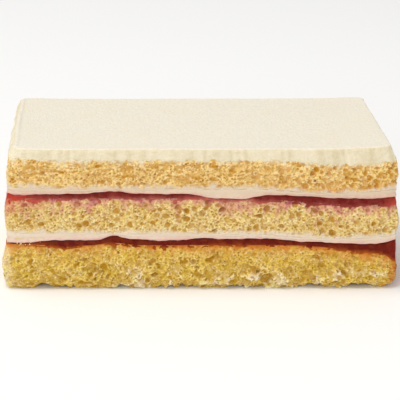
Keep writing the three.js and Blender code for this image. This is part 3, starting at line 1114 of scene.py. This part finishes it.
class SHORTCAKE_OT_icing(bpy.types.Operator):
    """Smooths the icing over the top and cuts its walls"""

    bl_idname = "shortcake.icing"
    bl_label = "Ice the Top"

    def execute(self, context):
        icing, filling = context.scene.shortcake_icing, context.scene.shortcake_filling
        walls = Walls(icing.step * PER_METRE)
        noise = WallNoise(icing.seed, walls.outline)
        places, marks = self.cut_wall(icing, filling, walls, noise)
        bm = new_bmesh(marks)
        rings = bend_wall(bm, places, marks)
        self.top_sheet(bm, walls.outline, rings[-1], places[-1], noise, icing)
        close_ring(bm, rings[0], walls.outline)
        finish_piece(bm, "icing", icing_material())
        return {"FINISHED"}

    def cut_wall(self, icing, filling, walls, noise):
        """Places and marks of the walls and the rounded edge above them."""
        outline = walls.outline
        low, high, shares, steps = walls.layer("icing")
        edge = icing.edge * PER_METRE
        upright = high - edge
        runs = 0.45 + 0.35 * noise.line(2.0) + 0.35 * noise.line(0.9)
        bleed = filling.bleed * PER_METRE * np.clip(runs, 0.05, 1.7)
        height = band_rows(low, upright, bleed, 0.0, ICING_ROWS)[0]
        turn = np.linspace(0.0, math.pi / 2, ICING_EDGE_ROWS + 1)[1:]
        turn = np.concatenate([np.zeros(ICING_ROWS), turn])[:, None]
        height = np.concatenate([height, np.tile(upright, (ICING_EDGE_ROWS, 1))]) + edge * np.sin(turn)
        rise = np.clip((height - low) / (high - low), 0.0, 1.0)
        lean = (shares[MIDDLE_PROBE] - shares[0]) / (steps[MIDDLE_PROBE] - steps[0])
        share = shares[0] + lean * np.minimum(rise, (upright - low) / (high - low))
        under = np.clip((low - height) / bleed, 0.0, 1.0)
        knife = noise.field(len(height), 1.4, 12.0) + 0.7 * noise.field(len(height), 0.9, 4.0)
        rough = noise.field(len(height), 1.6, 1.2)
        cut = np.clip((high - height) / edge, 0.0, 1.0)
        streaks = cut * (icing.streak * PER_METRE * knife + 0.03 * rough)
        offset = streaks - edge * (1.0 - np.cos(turn)) - 0.06 * under - 0.6 * under**6
        marks = {
            "cut": np.clip(2.2 * cut, 0.0, 1.0),
            # painted shade on the rounded upper edge, which darkens it towards the streak tone
            "streak": np.clip(0.35 + 0.25 * knife + 0.1 * rough + 0.5 * np.sin(2 * turn), 0.0, 1.0),
        }
        places = outline.place(share, offset, height)
        corner = CORNER_DRAWN_IN * ramp(outline.y, -4.0, -26.0) * (0.5 + 0.5 * rise)
        drawn_in = np.where(places[..., 0] > 0, RIGHT_DRAWN_IN * rise, LEFT_DRAWN_IN * rise + corner)
        places[..., 0] *= 1.0 - drawn_in
        return places, marks

    def top_sheet(self, bm, outline, ring, rim, noise, icing):
        """Stretches a flat grid across the rim of the icing, and welds it there."""
        nx, ny = outline.long, outline.end
        border = np.empty((ny + 1, nx + 1, 3))
        border[outline.across, outline.along] = rim
        u = np.linspace(0.0, 1.0, nx + 1)[None, :, None]
        v = np.linspace(0.0, 1.0, ny + 1)[:, None, None]
        across = (1 - v) * border[0][None] + v * border[-1][None]
        along = (1 - u) * border[:, 0][:, None] + u * border[:, -1][:, None]
        front = (1 - u) * border[0, 0] + u * border[0, -1]
        back = (1 - u) * border[-1, 0] + u * border[-1, -1]
        sheet = across + along - (1 - v) * front - v * back
        inner = np.minimum(np.minimum(u, 1 - u) * nx, np.minimum(v, 1 - v) * ny)[..., 0] * outline.step
        wave = 0.06 * noise.field(ny + 1, 22.0, 16.0, columns=nx + 1)
        lip = icing.lip * PER_METRE * bump(u[..., 0] * nx * outline.step, 1.6, 1.3)
        sheet[..., 2] += ramp(inner, 0.0, 3.0) * wave + ramp(inner, 0.0, 1.0) * lip
        made = bmesh.ops.create_grid(bm, x_segments=nx, y_segments=ny, size=1.0)["verts"]
        column = {at: i for i, at in enumerate(zip(outline.along, outline.across))}
        weld = {}
        for vert in made:
            at = (round((vert.co.x + 1) / 2 * nx), round((vert.co.y + 1) / 2 * ny))
            vert.co = sheet[at[1], at[0]] / PER_METRE
            if at in column:
                weld[vert] = ring[column[at]]
        bmesh.ops.weld_verts(bm, targetmap=weld)


class SHORTCAKE_OT_crumbs(bpy.types.Operator):
    """Drops loose crumbs on the lower cream"""

    bl_idname = "shortcake.crumbs"
    bl_label = "Drop the Crumbs"

    def execute(self, context):
        sponge = context.scene.shortcake_sponge
        walls = Walls(context.scene.shortcake_filling.step * PER_METRE)
        rng = np.random.default_rng(sponge.seed + 5)
        outline = walls.outline
        low, high, shares, _ = walls.layer("cream_lower")
        left, right = FRONT_STRETCH
        front_left = np.flatnonzero(outline.front & (outline.x > left) & (outline.x < right))
        bm = bmesh.new()
        chosen = [rng.choice(front_left, FRONT_CRUMBS), rng.integers(0, outline.count, OTHER_CRUMBS)]
        for i in np.concatenate(chosen):
            height = low[i] + (high[i] - low[i]) * rng.uniform(-0.2, 0.45)
            self.crumb(bm, rng, outline, i, shares[MIDDLE_PROBE, i], height, rng.uniform(*CRUMB_RADIUS))
        bmesh.ops.recalc_face_normals(bm, faces=bm.faces)
        piece = new_piece(bm, "loose_crumbs", loose_crumb_material())
        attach(piece, "root")
        return {"FINISHED"}

    def crumb(self, bm, rng, outline, i, share, height, radius):
        """One crumb, a small uneven ball, half sunk in the wall."""
        place = outline.spine[i] + outline.out[i] * (share * outline.span[i] - 0.2 * radius)
        made = bmesh.ops.create_icosphere(bm, subdivisions=2, radius=radius / PER_METRE)["verts"]
        size = rng.uniform((0.8, 0.8, 0.5), (1.4, 1.4, 0.9))
        knobs = rng.normal(0.0, 1.0, (3, 3))
        shift = Vector((*place, height)) / PER_METRE
        for vert in made:
            way = np.array(vert.co.normalized())
            uneven = 1.0 + 0.16 * np.sin(knobs @ way * 2.2).sum()
            vert.co = Vector(size * np.array(vert.co) * uneven) + shift


# Stage.

FLOOR_REACH = 2.0  # in metres, like the lights
OVERHEAD_SIZE = 0.9
OVERHEAD_PLACE = (-0.45, -0.15, 1.7)
FRONT_SIZE = 1.1
FRONT_PLACE = (-0.5, -2.0, 1.0)
SENSOR_WIDTH = 36.0  # in millimetres, as cameras give it


class SHORTCAKE_OT_stage(bpy.types.Operator):
    """Sets out the pale floor, the soft lights and the camera"""

    bl_idname = "shortcake.stage"
    bl_label = "Set the Stage"

    def execute(self, context):
        stage = context.scene.shortcake_stage
        self.floor(stage)
        self.light(context, stage)
        self.camera(context, stage)
        return {"FINISHED"}

    def floor(self, stage):
        """A wide, nearly even floor."""
        bm = bmesh.new()
        bmesh.ops.create_grid(bm, x_segments=8, y_segments=8, size=FLOOR_REACH)
        material, tree, shader = new_material("pale_floor")
        patches = ranged(tree, noise_of(tree, 3.0), 0.3, 0.7, 0.0, 0.3)
        tone = mixed(tree, patches, stage.floor, stage.floor_light)
        set_inputs(tree, shader, {"Base Color": tone, "Roughness": 0.9})
        new_piece(bm, "floor", material)

    def light(self, context, stage):
        """An even white sky, and two large soft lights."""
        world = bpy.data.worlds.new("studio")
        world.use_nodes = True
        background = world.node_tree.nodes["Background"]
        set_inputs(world.node_tree, background, {"Color": (1.0, 1.0, 1.0), "Strength": stage.sky})
        context.scene.world = world
        self.soft_light(context, "overhead", stage.key, OVERHEAD_SIZE, Vector(OVERHEAD_PLACE))
        self.soft_light(context, "front", stage.fill, FRONT_SIZE, Vector(FRONT_PLACE))
        context.scene.view_settings.view_transform = "Standard"

    def soft_light(self, context, name, power, size, place):
        """A square light that faces the portion."""
        lamp = bpy.data.lights.new(name, "AREA")
        lamp.energy = power
        lamp.size = size
        light = bpy.data.objects.new(name, lamp)
        light.location = place
        light.rotation_euler = (-place).to_track_quat("-Z", "Y").to_euler()
        context.collection.objects.link(light)

    def camera(self, context, stage):
        """The photo's view, from the front and a little above."""
        data = bpy.data.cameras.new("front_view")
        data.lens = stage.lens
        data.sensor_width = SENSOR_WIDTH
        camera = bpy.data.objects.new("front_view", data)
        flat = math.cos(stage.elevation)
        side, forward = math.sin(stage.azimuth) * flat, math.cos(stage.azimuth) * flat
        back = Vector((side, -forward, math.sin(stage.elevation)))
        camera.location = Vector(stage.aim) + back * stage.distance
        camera.rotation_euler = (-back).to_track_quat("-Z", "Y").to_euler()
        context.collection.objects.link(camera)
        context.scene.camera = camera


class SHORTCAKE_PT_panel(bpy.types.Panel):
    """Lists the steps that dress the portion, with their settings"""

    bl_idname = "SHORTCAKE_PT_panel"
    bl_label = "Shortcake"
    bl_space_type = "VIEW_3D"
    bl_region_type = "UI"
    bl_category = "Shortcake"

    def draw(self, context):
        for step in STEPS:
            self.layout.operator(step.bl_idname)
        for key in SETTINGS:
            group = getattr(context.scene, key)
            box = self.layout.box()
            for name in group.__annotations__:
                box.prop(group, name)


SETTINGS = {
    "shortcake_sponge": SpongeSettings,
    "shortcake_filling": FillingSettings,
    "shortcake_icing": IcingSettings,
    "shortcake_stage": StageSettings,
}
STEPS = (
    SHORTCAKE_OT_sponges,
    SHORTCAKE_OT_jams,
    SHORTCAKE_OT_creams,
    SHORTCAKE_OT_icing,
    SHORTCAKE_OT_crumbs,
    SHORTCAKE_OT_stage,
)
CLASSES = (*SETTINGS.values(), *STEPS, SHORTCAKE_PT_panel)


def register():
    for cls in CLASSES:
        bpy.utils.register_class(cls)
    for key, group in SETTINGS.items():
        setattr(bpy.types.Scene, key, PointerProperty(type=group))


def unregister():
    for key in SETTINGS:
        delattr(bpy.types.Scene, key)
    for cls in reversed(CLASSES):
        bpy.utils.unregister_class(cls)


def main():
    register()
    bpy.ops.shortcake.sponges()
    bpy.ops.shortcake.jams()
    bpy.ops.shortcake.creams()
    bpy.ops.shortcake.icing()
    bpy.ops.shortcake.crumbs()
    bpy.ops.shortcake.stage()


if __name__ == "__main__":
    main()
